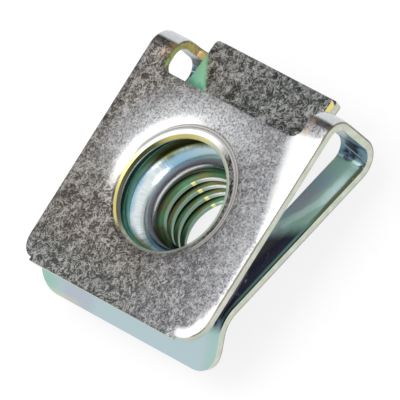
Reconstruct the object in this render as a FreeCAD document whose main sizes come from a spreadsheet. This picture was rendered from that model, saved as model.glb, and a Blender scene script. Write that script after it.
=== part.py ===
import FreeCAD, Part
import Sketcher
import math
import os

V3 = FreeCAD.Vector
DOC = FreeCAD.newDocument("u_clip_nut")
SHEET = DOC.addObject("Spreadsheet::Sheet", "Spreadsheet")

# Driving sizes of the clip, in millimetres and degrees
SIZES = [
    ("clip_width", 20.0, "width of the folded sheet"),
    ("clip_sheet", 0.8, "thickness of the clip's sheet"),
    ("leaf_tilt", 5.8, "angle of the front leaf to the plate it lies over"),
    ("leaf_gap", 0.77, "gap between leaf and plate at the hole's centre"),
    ("leaf_reach", 10.74, "hole centre to the leaf's lower edge"),
    ("leaf_corner", 1.6, "radius of the leaf's lower corners"),
    ("shear_step", 0.3, "step where the blank was cut off"),
    ("shear_margin", 1.7, "leaf's side to the cut-off step"),
    ("spine_reach", 11.2, "hole centre to the outer face of the spine"),
    ("leaf_hole_radius", 5.52, "clearance hole in the front leaf"),
    ("front_bend", 1.9, "outer radius of the bend beside the front leaf"),
    ("rear_bend", 2.1, "outer radius of the bend beside the rear strips"),
    ("strip_angle", 17.4, "angle of the rear strips to the front leaf"),
    ("throat_bend", 2.2, "radius of the throat on the rear face"),
    ("flare_angle", 34.2, "angle of the flared lip to the front leaf"),
    ("flare_length", 3.66, "straight stretch of the flared lip"),
    ("flare_corner", 2.2, "radius of the lip's corners"),
    ("leg_width", 2.3, "width of each leg round the bend"),
    ("leg_drop", 1.3, "end of the front bend to where the legs widen into the strips"),
    ("strip_width", 3.06, "width of each rear strip"),
    ("leaf_window_edge", 7.84, "hole centre to the window's edge on the leaf"),
    ("window_corner", 0.9, "radius of the window's corners"),
    ("rear_window_edge", 6.2, "barrel axis to the rear window's lower edge"),
    ("tongue_width", 13.08, "width of the tongue and of the plate on it"),
    ("tongue_reach", 12.65, "barrel axis to the tongue's free end"),
    ("tongue_root", 0.7, "overlap of the tongue with the sheet below the window"),
    ("tongue_corner", 0.3, "radius of the free corners"),
    ("barrel_height", 7.9, "plate's front face to the barrel's end"),
    ("barrel_radius", 4.6, "outer radius of the drawn barrel"),
    ("barrel_fillet", 1.1, "outer radius where the barrel leaves the tongue"),
    ("thread_minor", 3.35, "radius over the thread's crests"),
    ("thread_major", 3.95, "radius at the thread's roots"),
    ("funnel_radius", 1.9, "drawn radius at the barrel's mouth"),
    ("barrel_edge", 0.25, "rounding on the barrel's end rim"),
    ("plate_sheet", 0.8, "thickness of the loose plate"),
    ("plate_reach", 12.45, "barrel axis to the plate's free end"),
    ("plate_hole_radius", 5.26, "clearance hole in the loose plate"),
    ("plate_clearance", 0.02, "play between the plate's lower edge and the leaf"),
    ("edge_roll", 0.2, "rounding that the punch leaves on the outer faces"),
]
for row, (alias, number, note) in enumerate(SIZES, start=1):
    SHEET.set(f"A{row}", note)
    SHEET.set(f"B{row}", str(number))
    SHEET.setAlias(f"B{row}", alias)
DOC.recompute()


def size(alias):
    """A driving size, as a plain number."""
    return float(getattr(SHEET, alias))


def cells(text):
    """An expression on the sheet: every @word is one of its aliases."""
    return text.replace("@", "Spreadsheet.")


def check(object_made, label):
    """Stop when a feature failed or its solid is not sound."""
    DOC.recompute()
    for item in DOC.Objects:
        if "Invalid" in item.State or "Error" in item.State:
            raise RuntimeError(f"{label}: {item.Name} failed: {item.State}")
    shape = object_made.Shape
    if shape.isNull() or not shape.isValid():
        raise RuntimeError(f"{label}: {object_made.Name} has no sound shape")


def origin_plane(body, role):
    """One of the body's own origin planes."""
    return next(item for item in body.Origin.OriginFeatures if item.Role == role)


def new_sketch(body, name, role):
    """An empty sketch on one of the body's origin planes."""
    sketch = body.newObject("Sketcher::SketchObject", name)
    sketch.AttachmentSupport = [(origin_plane(body, role), "")]
    sketch.MapMode = "FlatFace"
    return sketch


def drive(sketch, constraint, expression, name):
    """Add a constraint, name it and bind it to the sheet."""
    index = sketch.addConstraint(constraint)
    sketch.renameConstraint(index, name)
    sketch.setExpression(f"Constraints.{name}", cells(expression))
    return index


def place(sketch, shape, end, name, across, height, near):
    """Bind a point of a sketch to expressions; near is where it starts."""
    for kind, expression, number in (("DistanceX", across, near[0]), ("DistanceY", height, near[1])):
        if number < 0:
            constraint = Sketcher.Constraint(kind, shape, end, -1, 1, -number)
            expression = "-(" + expression + ")"
        else:
            constraint = Sketcher.Constraint(kind, -1, 1, shape, end, number)
        drive(sketch, constraint, expression, f"{name}_{kind[-1].lower()}")


def add_line(sketch, start, end):
    """A straight edge between two points of the sketch plane."""
    return sketch.addGeometry(Part.LineSegment(V3(*start, 0), V3(*end, 0)), False)


def add_arc(sketch, centre, radius, start_angle, end_angle):
    """An arc drawn anticlockwise, with its angles in degrees."""
    circle = Part.Circle(V3(*centre, 0), V3(0, 0, 1), radius)
    arc = Part.ArcOfCircle(circle, math.radians(start_angle), math.radians(end_angle))
    return sketch.addGeometry(arc, False)


def add_feature(body, kind, name, profile, **values):
    """A feature on a profile: text values are expressions on the sheet."""
    feature = body.newObject(kind, name)
    feature.Profile = profile
    for key, value in values.items():
        if isinstance(value, str) and "@" in value:
            feature.setExpression(key, cells(value))
        else:
            setattr(feature, key, value)
    body.Tip = feature
    check(feature, name)
    return feature


# Distance in millimetres under which two places count as one
SAME = 1e-3
# Share of a full match from which two directions count as one
ALIGNED = 0.999
# Least volume in cubic millimetres that the bore must take away
LEAST_BORE = 1.0

# Values that follow from the driving sizes
TILT = math.radians(size("leaf_tilt"))
LEAF_LIFT = size("leaf_gap") + size("clip_sheet")
LEAF_ORIGIN_Y = "-(@leaf_gap + @clip_sheet) * sin(@leaf_tilt * 1deg)"
LEAF_ORIGIN_Z = "@barrel_height + (@leaf_gap + @clip_sheet) * cos(@leaf_tilt * 1deg)"
TONGUE_BACK = "@barrel_height - @plate_sheet - @clip_sheet"
TONGUE_FRONT = "@barrel_height - @plate_sheet"
STRIP_END_Z = TONGUE_BACK + " - @tongue_root * tan((@strip_angle - @leaf_tilt) * 1deg)"
# A cut through the leaf that stops short of what lies behind it
THROUGH_LEAF = "@clip_sheet * 1.5"
# Height on the spine, half a sheet above where the legs widen
WIDENING_Z = (LEAF_ORIGIN_Z + " + @spine_reach * sin(@leaf_tilt * 1deg)"
              " - (@front_bend + @leg_drop - @clip_sheet / 2) * cos(@leaf_tilt * 1deg)")


def strip_end_height():
    """Height where the strips' straight stretch ends, on their rear face."""
    slope = math.tan(math.radians(size("strip_angle") - size("leaf_tilt")))
    below = size("plate_sheet") + size("clip_sheet")
    return size("barrel_height") - below - size("tongue_root") * slope


def on_leaf(along, above):
    """The section point that lies along and above the leaf's outer face."""
    lift = LEAF_LIFT + above
    across = along * math.cos(TILT) - lift * math.sin(TILT)
    height = size("barrel_height") + along * math.sin(TILT) + lift * math.cos(TILT)
    return across, height


def fold_points():
    """Centres of the three bends, where the strips meet the tongue's root."""
    normal = math.radians(size("leaf_tilt") - 90.0 - size("strip_angle"))
    outward = (math.cos(normal), math.sin(normal))
    strip_end = (-size("rear_window_edge"), strip_end_height())
    front = on_leaf(size("spine_reach") - size("front_bend"), -size("front_bend"))
    top = on_leaf(size("spine_reach") - size("rear_bend"), 0.0)
    down = (math.sin(TILT), -math.cos(TILT))
    gap = (top[0] - strip_end[0]) * outward[0] + (top[1] - strip_end[1]) * outward[1]
    drop = (-size("rear_bend") - gap) / (down[0] * outward[0] + down[1] * outward[1])
    rear = (top[0] + down[0] * drop, top[1] + down[1] * drop)
    throat = (strip_end[0] + outward[0] * size("throat_bend"),
              strip_end[1] + outward[1] * size("throat_bend"))
    return front, rear, throat


def ring_point(centre, radius, angle):
    """The point of a circle at an angle in degrees."""
    turn = math.radians(angle)
    return centre[0] + radius * math.cos(turn), centre[1] + radius * math.sin(turn)


def draw_fold(sketch):
    """The folded sheet's section: leaf, two bends, rear strip, throat and lip."""
    front, rear, throat = fold_points()
    sheet = size("clip_sheet")
    tilt = size("leaf_tilt")
    strip = size("strip_angle")
    flare = size("flare_angle")
    leaf_end = on_leaf(-size("leaf_reach"), 0.0)
    leaf_inner = on_leaf(-size("leaf_reach"), -sheet)
    up = tilt + 90.0
    side = tilt
    back = tilt - 90.0 - strip
    lip = tilt + 90.0 + flare
    lip_run = math.radians(lip + 90.0)
    lip_step = (math.cos(lip_run) * size("flare_length"), math.sin(lip_run) * size("flare_length"))
    r_front = size("front_bend")
    r_rear = size("rear_bend")
    r_throat = size("throat_bend")
    lip_outer = ring_point(throat, r_throat, lip)
    lip_inner = ring_point(throat, r_throat + sheet, lip)
    lip_outer_end = (lip_outer[0] + lip_step[0], lip_outer[1] + lip_step[1])
    lip_inner_end = (lip_inner[0] + lip_step[0], lip_inner[1] + lip_step[1])
    leaf = add_line(sketch, leaf_end, ring_point(front, r_front, up))
    bend_1 = add_arc(sketch, front, r_front, side, up)
    spine = add_line(sketch, ring_point(front, r_front, side), ring_point(rear, r_rear, side))
    bend_2 = add_arc(sketch, rear, r_rear, back, side)
    strip_out = add_line(sketch, ring_point(rear, r_rear, back),
                         ring_point(throat, r_throat, back + 180.0))
    bend_3 = add_arc(sketch, throat, r_throat, back + 180.0, lip)
    flare_out = add_line(sketch, lip_outer, lip_outer_end)
    lip_cap = add_line(sketch, lip_outer_end, lip_inner_end)
    flare_in = add_line(sketch, lip_inner_end, lip_inner)
    bend_3_in = add_arc(sketch, throat, r_throat + sheet, back + 180.0, lip)
    strip_in = add_line(sketch, ring_point(throat, r_throat + sheet, back + 180.0),
                        ring_point(rear, r_rear - sheet, back))
    bend_2_in = add_arc(sketch, rear, r_rear - sheet, back, side)
    spine_in = add_line(sketch, ring_point(rear, r_rear - sheet, side),
                        ring_point(front, r_front - sheet, side))
    bend_1_in = add_arc(sketch, front, r_front - sheet, side, up)
    leaf_in = add_line(sketch, ring_point(front, r_front - sheet, up), leaf_inner)
    leaf_cap = add_line(sketch, leaf_inner, leaf_end)
    tangents = [
        (leaf, 2, bend_1, 2), (bend_1, 1, spine, 1), (spine, 2, bend_2, 2),
        (bend_2, 1, strip_out, 1), (strip_out, 2, bend_3, 1), (bend_3, 2, flare_out, 1),
        (flare_in, 2, bend_3_in, 2), (bend_3_in, 1, strip_in, 1), (strip_in, 2, bend_2_in, 1),
        (bend_2_in, 2, spine_in, 1), (spine_in, 2, bend_1_in, 1), (bend_1_in, 2, leaf_in, 1),
    ]
    for first, first_end, second, second_end in tangents:
        sketch.addConstraint(Sketcher.Constraint("Tangent", first, first_end, second, second_end))
    corners = [(flare_out, 2, lip_cap, 1), (lip_cap, 2, flare_in, 1),
               (leaf_in, 2, leaf_cap, 1), (leaf_cap, 2, leaf, 1)]
    for first, first_end, second, second_end in corners:
        sketch.addConstraint(Sketcher.Constraint("Coincident", first, first_end, second, second_end))
    for outer, inner in ((bend_1, bend_1_in), (bend_2, bend_2_in), (bend_3, bend_3_in)):
        sketch.addConstraint(Sketcher.Constraint("Coincident", outer, 3, inner, 3))
    for outer, inner in ((leaf, leaf_in), (spine, spine_in), (strip_out, strip_in), (flare_out, flare_in)):
        sketch.addConstraint(Sketcher.Constraint("Parallel", outer, inner))
    sketch.addConstraint(Sketcher.Constraint("Perpendicular", leaf, leaf_cap))
    sketch.addConstraint(Sketcher.Constraint("Perpendicular", flare_out, lip_cap))
    sketch.addConstraint(Sketcher.Constraint("Perpendicular", leaf, spine))
    drive(sketch, Sketcher.Constraint("Radius", bend_1, r_front), "@front_bend", "front_bend")
    drive(sketch, Sketcher.Constraint("Radius", bend_1_in, r_front - sheet),
          "@front_bend - @clip_sheet", "front_bend_inside")
    drive(sketch, Sketcher.Constraint("Radius", bend_2, r_rear), "@rear_bend", "rear_bend")
    drive(sketch, Sketcher.Constraint("Radius", bend_3, r_throat), "@throat_bend", "throat_bend")
    drive(sketch, Sketcher.Constraint("Angle", -1, 1, leaf, 1, TILT), "@leaf_tilt * 1deg", "leaf_tilt")
    drive(sketch, Sketcher.Constraint("Angle", strip_in, 2, leaf_in, 1, math.radians(strip)),
          "@strip_angle * 1deg", "strip_angle")
    drive(sketch, Sketcher.Constraint("Angle", leaf_in, 1, flare_in, 2, math.radians(flare)),
          "@flare_angle * 1deg", "flare_angle")
    lengths = [(leaf, "@leaf_reach + @spine_reach - @front_bend", "leaf_run"),
               (flare_out, "@flare_length", "flare_run")]
    for line, expression, name in lengths:
        span = sketch.Geometry[line].length()
        drive(sketch, Sketcher.Constraint("Distance", line, span), expression, name)
    place(sketch, leaf, 1, "leaf_end", LEAF_ORIGIN_Y + " - @leaf_reach * cos(@leaf_tilt * 1deg)",
          LEAF_ORIGIN_Z + " - @leaf_reach * sin(@leaf_tilt * 1deg)", leaf_end)
    place(sketch, strip_out, 2, "strip_end", "-@rear_window_edge", STRIP_END_Z,
          (-size("rear_window_edge"), strip_end_height()))


def close_ring(sketch, edges):
    """Join edges end to start in a closed ring."""
    for first, second in zip(edges, edges[1:] + edges[:1]):
        sketch.addConstraint(Sketcher.Constraint("Coincident", first, 2, second, 1))


def add_box(sketch, name, left, right, low, high, near):
    """A rectangle whose four sides are bound to expressions."""
    x_left, x_right, y_low, y_high = near
    points = [(x_left, y_low), (x_right, y_low), (x_right, y_high), (x_left, y_high)]
    edges = [add_line(sketch, start, end) for start, end in zip(points, points[1:] + points[:1])]
    close_ring(sketch, edges)
    for edge, kind in zip(edges, ("Horizontal", "Vertical", "Horizontal", "Vertical")):
        sketch.addConstraint(Sketcher.Constraint(kind, edge))
    place(sketch, edges[0], 1, name + "_low", left, low, points[0])
    place(sketch, edges[2], 1, name + "_high", right, high, points[2])
    return edges


def lift_sketch(sketch, height, tilt=None, across=None):
    """Move a sketch off its plane: up, and for the leaf's own plane tilted too."""
    if tilt:
        sketch.AttachmentOffset = FreeCAD.Placement(V3(), FreeCAD.Rotation(V3(1, 0, 0), size("leaf_tilt")))
        sketch.setExpression("AttachmentOffset.Base.y", cells(across))
        sketch.setExpression("AttachmentOffset.Rotation.Angle", cells(tilt))
    sketch.setExpression("AttachmentOffset.Base.z", cells(height))


def leaf_sketch(body, name):
    """A sketch on the leaf's outer face, with its origin at the hole's centre."""
    sketch = new_sketch(body, name, "XY_Plane")
    lift_sketch(sketch, LEAF_ORIGIN_Z, "@leaf_tilt * 1deg", LEAF_ORIGIN_Y)
    return sketch


def upright_edges(shape, along, test):
    """Names of the straight edges along a direction whose middle passes a test."""
    names = []
    for number, edge in enumerate(shape.Edges, start=1):
        if edge.Curve.TypeId != "Part::GeomLine":
            continue
        if abs(edge.Curve.Direction.dot(along)) < ALIGNED:
            continue
        middle = edge.valueAt((edge.FirstParameter + edge.LastParameter) / 2.0)
        if test(middle):
            names.append(f"Edge{number}")
    return names


def round_corners(body, name, base, edges, radius):
    """A fillet on named edges of a feature."""
    if not edges:
        raise RuntimeError(f"{name}: no edges found")
    fillet = body.newObject("PartDesign::Fillet", name)
    fillet.Base = (base, edges)
    fillet.setExpression("Radius", cells(radius))
    body.Tip = fillet
    check(fillet, name)
    return fillet


def cut_windows(body):
    """The leaf's hole, the window round the bend, the rear window and the cut-off corners."""
    half = size("clip_width") / 2.0
    hole = leaf_sketch(body, "LeafHoleSketch")
    circle = hole.addGeometry(Part.Circle(V3(0, 0, 0), V3(0, 0, 1), size("leaf_hole_radius")), False)
    hole.addConstraint(Sketcher.Constraint("Coincident", circle, 3, -1, 1))
    drive(hole, Sketcher.Constraint("Radius", circle, size("leaf_hole_radius")),
          "@leaf_hole_radius", "hole_radius")
    add_feature(body, "PartDesign::Pocket", "LeafHole", hole, Length=THROUGH_LEAF)
    front = leaf_sketch(body, "FrontWindowSketch")
    edge_x = half - size("leg_width")
    low = size("leaf_window_edge")
    top = size("spine_reach") + size("clip_sheet")
    add_box(front, "window", "-(@clip_width / 2 - @leg_width)", "@clip_width / 2 - @leg_width",
            "@leaf_window_edge", "@spine_reach + @clip_sheet", (-edge_x, edge_x, low, top))
    add_feature(body, "PartDesign::Pocket", "FrontWindow", front,
                Length="@front_bend + @leg_drop")
    rear = new_sketch(body, "RearWindowSketch", "XY_Plane")
    strip_x = half - size("strip_width")
    add_box(rear, "window", "-(@clip_width / 2 - @strip_width)", "@clip_width / 2 - @strip_width",
            "-@rear_window_edge", "@spine_reach + @clip_sheet",
            (-strip_x, strip_x, -size("rear_window_edge"), top))
    add_feature(body, "PartDesign::Pocket", "RearWindow", rear, Reversed=True, Length=WIDENING_Z)
    steps = leaf_sketch(body, "ShearStepSketch")
    reach = size("leaf_reach")
    inner = half - size("shear_margin")
    outer = half + size("clip_sheet")
    for name, sign in (("right", 1), ("left", -1)):
        near_x = sorted((sign * inner, sign * outer))
        inner_cell = "@clip_width / 2 - @shear_margin"
        outer_cell = "@clip_width / 2 + @clip_sheet"
        sides = (inner_cell, outer_cell) if sign > 0 else (f"-({outer_cell})", f"-({inner_cell})")
        add_box(steps, name, sides[0], sides[1], "-(@leaf_reach + @clip_sheet)",
                "-(@leaf_reach - @shear_step)",
                (near_x[0], near_x[1], -(reach + size("clip_sheet")), -(reach - size("shear_step"))))
    return add_feature(body, "PartDesign::Pocket", "ShearStep", steps, Length=THROUGH_LEAF)


def add_tongue(body):
    """The tongue that stands in the window, rooted in the sheet below it."""
    sketch = new_sketch(body, "TongueSketch", "XY_Plane")
    lift_sketch(sketch, TONGUE_BACK)
    half = size("tongue_width") / 2.0
    root = size("rear_window_edge") + size("tongue_root")
    add_box(sketch, "tongue", "-@tongue_width / 2", "@tongue_width / 2",
            "-(@rear_window_edge + @tongue_root)", "@tongue_reach",
            (-half, half, -root, size("tongue_reach")))
    return add_feature(body, "PartDesign::Pad", "Tongue", sketch, Length="@clip_sheet")


def draw_barrel(sketch):
    """Half section of the drawn barrel: outside wall and the fillet under the tongue."""
    radius = size("barrel_radius")
    fillet = size("barrel_fillet")
    edge = size("barrel_edge")
    back = size("barrel_height") - size("plate_sheet") - size("clip_sheet")
    front = size("barrel_height") - size("plate_sheet")
    axis = add_line(sketch, (0, front), (0, 0))
    rim = add_line(sketch, (0, 0), (radius - edge, 0))
    rounding = add_arc(sketch, (radius - edge, edge), edge, -90, 0)
    wall = add_line(sketch, (radius, edge), (radius, back - fillet))
    hollow = add_arc(sketch, (radius + fillet, back - fillet), fillet, 90, 180)
    side = add_line(sketch, (radius + fillet, back), (radius + fillet, front))
    face = add_line(sketch, (radius + fillet, front), (0, front))
    joints = [(axis, 2, rim, 1), (side, 2, face, 1), (face, 2, axis, 1), (hollow, 1, side, 1)]
    for first, first_end, second, second_end in joints:
        sketch.addConstraint(Sketcher.Constraint("Coincident", first, first_end, second, second_end))
    smooth = [(rim, 2, rounding, 1), (rounding, 2, wall, 1), (wall, 2, hollow, 2)]
    for first, first_end, second, second_end in smooth:
        sketch.addConstraint(Sketcher.Constraint("Tangent", first, first_end, second, second_end))
    for edge_line, kind in ((axis, "Vertical"), (rim, "Horizontal"), (wall, "Vertical"),
                            (side, "Vertical"), (face, "Horizontal")):
        sketch.addConstraint(Sketcher.Constraint(kind, edge_line))
    sketch.addConstraint(Sketcher.Constraint("Coincident", rim, 1, -1, 1))
    drive(sketch, Sketcher.Constraint("Radius", rounding, edge), "@barrel_edge", "rim_rounding")
    drive(sketch, Sketcher.Constraint("Radius", hollow, fillet), "@barrel_fillet", "root_fillet")
    drive(sketch, Sketcher.Constraint("DistanceX", -1, 1, wall, 1, radius), "@barrel_radius", "wall_radius")
    place(sketch, side, 1, "flange", "@barrel_radius + @barrel_fillet", TONGUE_BACK, (radius + fillet, back))
    drive(sketch, Sketcher.Constraint("DistanceY", -1, 1, face, 1, front), TONGUE_FRONT, "face_height")


def draw_bore(sketch):
    """Half section of what is open: the drawn mouth, the lead-in and the thread's bore."""
    minor = size("thread_minor")
    major = size("thread_major")
    mouth = size("funnel_radius")
    front = size("barrel_height") - size("plate_sheet")
    lead = major - minor
    top = front - mouth
    axis = add_line(sketch, (0, 0), (0, front))
    lid = add_line(sketch, (0, front), (major + mouth, front))
    curve = add_arc(sketch, (major + mouth, top), mouth, 90, 180)
    cone = add_line(sketch, (major, top), (minor, top - lead))
    bore = add_line(sketch, (minor, top - lead), (minor, 0))
    floor = add_line(sketch, (minor, 0), (0, 0))
    joints = [(axis, 2, lid, 1), (lid, 2, curve, 1), (curve, 2, cone, 1), (cone, 2, bore, 1),
              (bore, 2, floor, 1), (floor, 2, axis, 1)]
    for first, first_end, second, second_end in joints:
        sketch.addConstraint(Sketcher.Constraint("Coincident", first, first_end, second, second_end))
    for line, kind in ((axis, "Vertical"), (lid, "Horizontal"), (bore, "Vertical"), (floor, "Horizontal")):
        sketch.addConstraint(Sketcher.Constraint(kind, line))
    sketch.addConstraint(Sketcher.Constraint("Coincident", axis, 1, -1, 1))
    place(sketch, curve, 3, "mouth_centre", "@thread_major + @funnel_radius",
          TONGUE_FRONT + " - @funnel_radius", (major + mouth, top))
    place(sketch, cone, 1, "mouth_end", "@thread_major", TONGUE_FRONT + " - @funnel_radius", (major, top))
    place(sketch, bore, 1, "bore_top", "@thread_minor",
          TONGUE_FRONT + " - @funnel_radius - (@thread_major - @thread_minor)", (minor, top - lead))
    drive(sketch, Sketcher.Constraint("DistanceX", -1, 1, lid, 2, major + mouth),
          "@thread_major + @funnel_radius", "lid_span")


def revolve(body, kind, name, sketch):
    """Turn a half section about the barrel's axis."""
    feature = body.newObject(kind, name)
    feature.Profile = sketch
    feature.ReferenceAxis = (sketch, ["V_Axis"])
    feature.Angle = 360.0
    body.Tip = feature
    check(feature, name)
    return feature


def round_clip(body):
    """Round the corners of the leaf, of the lip and of the tongue's free end."""
    half = size("clip_width") / 2.0
    normal = V3(0.0, -math.sin(TILT), math.cos(TILT))
    leaf_floor = on_leaf(-size("leaf_reach"), -size("clip_sheet"))[1]
    leaf_edges = upright_edges(body.Shape, normal, lambda at: (
        abs(abs(at.x) - half) < SAME and at.y < -size("leaf_reach") / 2.0 and at.z > leaf_floor))
    leaf = round_corners(body, "LeafCorners", body.Tip, leaf_edges, "@leaf_corner")
    turn = math.radians(size("leaf_tilt") + size("flare_angle"))
    lip_normal = V3(0.0, math.sin(turn), -math.cos(turn))
    lip_edges = upright_edges(leaf.Shape, lip_normal, lambda at: (
        abs(abs(at.x) - half) < SAME and at.y < -size("rear_window_edge")))
    lip = round_corners(body, "LipCorners", leaf, lip_edges, "@flare_corner")
    up = V3(0.0, 0.0, 1.0)
    end_edges = upright_edges(lip.Shape, up, lambda at: abs(at.y - size("tongue_reach")) < SAME)
    tongue = round_corners(body, "TongueCorners", lip, end_edges, "@tongue_corner")
    return round_corners(body, "EdgeRoll", tongue, outer_rims(tongue.Shape), "@edge_roll")


def outer_rims(shape):
    """Names of the leaf's outer edges that start a run round the clip's outer face."""
    half = size("clip_width") / 2.0
    along = V3(0.0, math.cos(TILT), math.sin(TILT))
    normal = V3(0.0, -math.sin(TILT), math.cos(TILT))
    origin = V3(0.0, *on_leaf(0.0, 0.0))
    names = upright_edges(shape, along, lambda at: (
        abs(abs(at.x) - half) < SAME and abs((at - origin).dot(normal)) < SAME))
    for number, edge in enumerate(shape.Edges, start=1):
        if edge.Curve.TypeId == "Part::GeomCircle" and (edge.Curve.Center - origin).Length < SAME:
            names.append(f"Edge{number}")
    return names


def round_window(body):
    """Round the window's corners on the leaf and beside the tongue's root."""
    half = size("clip_width") / 2.0
    normal = V3(0.0, -math.sin(TILT), math.cos(TILT))
    leaf_edges = upright_edges(body.Shape, normal, lambda at: (
        abs(abs(at.x) - (half - size("leg_width"))) < SAME and at.z > size("barrel_height")
        and at.y < size("spine_reach") - size("front_bend")))
    return round_corners(body, "WindowCorners", body.Tip, leaf_edges, "@window_corner")


def make_plate():
    """The loose plate that lies on the tongue, its lower edge up against the leaf."""
    body = DOC.addObject("PartDesign::Body", "backing_plate")
    body.Label = "backing_plate"
    sketch = new_sketch(body, "PlateSketch", "XY_Plane")
    lift_sketch(sketch, TONGUE_FRONT)
    half = size("tongue_width") / 2.0
    low = (size("leaf_gap") - size("plate_clearance")) / math.sin(TILT)
    add_box(sketch, "plate", "-@tongue_width / 2", "@tongue_width / 2",
            "-(@leaf_gap - @plate_clearance) / sin(@leaf_tilt * 1deg)", "@plate_reach",
            (-half, half, -low, size("plate_reach")))
    circle = sketch.addGeometry(Part.Circle(V3(0, 0, 0), V3(0, 0, 1), size("plate_hole_radius")), False)
    sketch.addConstraint(Sketcher.Constraint("Coincident", circle, 3, -1, 1))
    drive(sketch, Sketcher.Constraint("Radius", circle, size("plate_hole_radius")),
          "@plate_hole_radius", "plate_hole")
    plate = add_feature(body, "PartDesign::Pad", "Plate", sketch, Length="@plate_sheet")
    up = V3(0.0, 0.0, 1.0)
    corners = upright_edges(plate.Shape, up, lambda at: at.y > 0.0)
    round_corners(body, "PlateCorners", plate, corners, "@tongue_corner")
    return body


def make_clip():
    """The folded clip, with the threaded barrel drawn out of its tongue."""
    body = DOC.addObject("PartDesign::Body", "spring_clip")
    body.Label = "spring_clip"
    fold = new_sketch(body, "FoldSection", "YZ_Plane")
    draw_fold(fold)
    add_feature(body, "PartDesign::Pad", "FoldedSheet", fold, Midplane=True, Length="@clip_width")
    cut_windows(body)
    round_window(body)
    add_tongue(body)
    barrel = new_sketch(body, "BarrelSection", "XZ_Plane")
    draw_barrel(barrel)
    revolve(body, "PartDesign::Revolution", "Barrel", barrel)
    bore = new_sketch(body, "BoreSection", "XZ_Plane")
    draw_bore(bore)
    solid = body.Shape.Volume
    revolve(body, "PartDesign::Groove", "Bore", bore)
    if body.Shape.Volume > solid - LEAST_BORE:
        raise RuntimeError("the bore cut nothing")
    round_clip(body)
    return body


def main():
    os.makedirs("parts", exist_ok=True)
    for body in (make_clip(), make_plate()):
        check(body, body.Label)
        if len(body.Shape.Solids) != 1:
            raise RuntimeError(f"{body.Label}: {len(body.Shape.Solids)} solids")
        body.Shape.exportStep(f"parts/{body.Label}.step")
        print(body.Label, round(body.Shape.Volume, 2), body.Shape.BoundBox)


main()
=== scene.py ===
"""Looks of a folded clip nut: a sheet clip with a drawn threaded barrel, and a loose plate."""

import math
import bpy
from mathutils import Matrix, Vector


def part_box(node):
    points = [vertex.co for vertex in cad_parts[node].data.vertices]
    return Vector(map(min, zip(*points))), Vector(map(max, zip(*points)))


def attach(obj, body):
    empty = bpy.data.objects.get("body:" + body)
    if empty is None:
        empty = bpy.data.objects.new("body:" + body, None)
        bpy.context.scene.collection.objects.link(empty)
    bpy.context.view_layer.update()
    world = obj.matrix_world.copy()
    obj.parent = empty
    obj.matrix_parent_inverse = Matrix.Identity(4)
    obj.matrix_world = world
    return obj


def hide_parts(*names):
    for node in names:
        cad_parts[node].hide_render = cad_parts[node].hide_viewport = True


bl_info = {
    "name": "Folded clip nut",
    "version": (1, 0, 0),
    "blender": (4, 5, 0),
    "location": "3D View > Sidebar > Clip nut",
    "description": "Builds the clip's sheet, its threaded barrel and its loose plate",
    "category": "Add Mesh",
}

import bmesh
import bpy
from mathutils import Matrix, Vector

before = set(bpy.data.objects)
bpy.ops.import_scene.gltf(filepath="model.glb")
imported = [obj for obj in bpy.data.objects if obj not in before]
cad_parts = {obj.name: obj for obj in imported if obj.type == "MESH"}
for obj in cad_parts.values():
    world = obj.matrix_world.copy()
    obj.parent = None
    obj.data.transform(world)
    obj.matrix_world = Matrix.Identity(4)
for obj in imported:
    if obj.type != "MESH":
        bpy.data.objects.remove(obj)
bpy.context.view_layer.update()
CLIP_LOW, CLIP_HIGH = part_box("spring_clip")
PLATE_LOW, PLATE_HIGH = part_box("backing_plate")
HALF_SHEET = (CLIP_HIGH.x - CLIP_LOW.x) / 2.0
HALF_TONGUE = (PLATE_HIGH.x - PLATE_LOW.x) / 2.0
MM = 0.001
# Two places closer than this are the same place
SAME = 2e-6
# A face and its wall turn more than the first angle, a sharp edge more than the second
RIM_ANGLE = math.radians(45.0)
SHARP_ANGLE = math.radians(50.0)
SMOOTH_ANGLE = math.radians(32.0)
# The blank is shaped this many times too thick, so that one bevel leaves a wide shallow roll
DEEP = 5.0
# The dished rim's section, from ring to lip and back: share of the band, depth in sheet thicknesses
RIM = ((0.94, 0.26), (0.66, 0.40), (0.60, 0.45), (0.34, 0.62), (0.29, 0.67), (0.04, 0.86),
       (0.0, 0.92), (0.02, 1.12), (0.30, 1.14), (1.0, 1.05))
# The thread's flanks lean this much, and its flats are this share of the pitch
FLANK = math.radians(30.0)
FLAT_SHARE = 1.0 / 8.0
# Depth in metres of the fine grain of the plating
GRAIN = 0.00001
# Directions from the leaf hole's centre, as parts to the right and up the leaf
LIT = (-0.83, 0.55)
UPPER = (-0.43, 0.9)
LEFT = (-0.95, -0.3)
RINGED = (0.42, 0.91)
LOWER = (0.2, -0.97)
# Directions from the barrel's axis, as parts of X and Y
MOUTH_LEFT = (-0.906, -0.42)
MOUTH_TOP = (0.3, 0.95)
GLINT_WAY = (-0.829, 0.559)
# The camera's right, up and backward directions in the part's frame
VIEW_RIGHT = Vector((0.6978, 0.5749, -0.4273))
VIEW_UP = Vector((-0.374, 0.8012, 0.4672))
VIEW_BACK = Vector((0.6109, -0.1662, 0.7741))
# From the leaf's middle to what the camera aims at, in millimetres, and its distance in metres
AIM_RIGHT = 1.988
AIM_UP = -1.0795
CAMERA_AWAY = 0.783
FOCAL_LENGTH = 886.9


def length(name, millimetres, note):
    """A length that a user may change, kept in metres."""
    return bpy.props.FloatProperty(name=name, description=note, default=millimetres * MM,
                                   unit="LENGTH", precision=5)


def turn(name, degrees, note):
    """An angle that a user may change, kept in radians."""
    return bpy.props.FloatProperty(name=name, description=note, default=math.radians(degrees),
                                   subtype="ANGLE")


def shade(red, green, blue):
    """A colour as a screen shows it, in parts of 255, brought to Blender's even scale."""
    parts = [part / 255.0 for part in (red, green, blue)]
    return tuple(part / 12.92 if part < 0.04045 else ((part + 0.055) / 1.055) ** 2.4 for part in parts)


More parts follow.
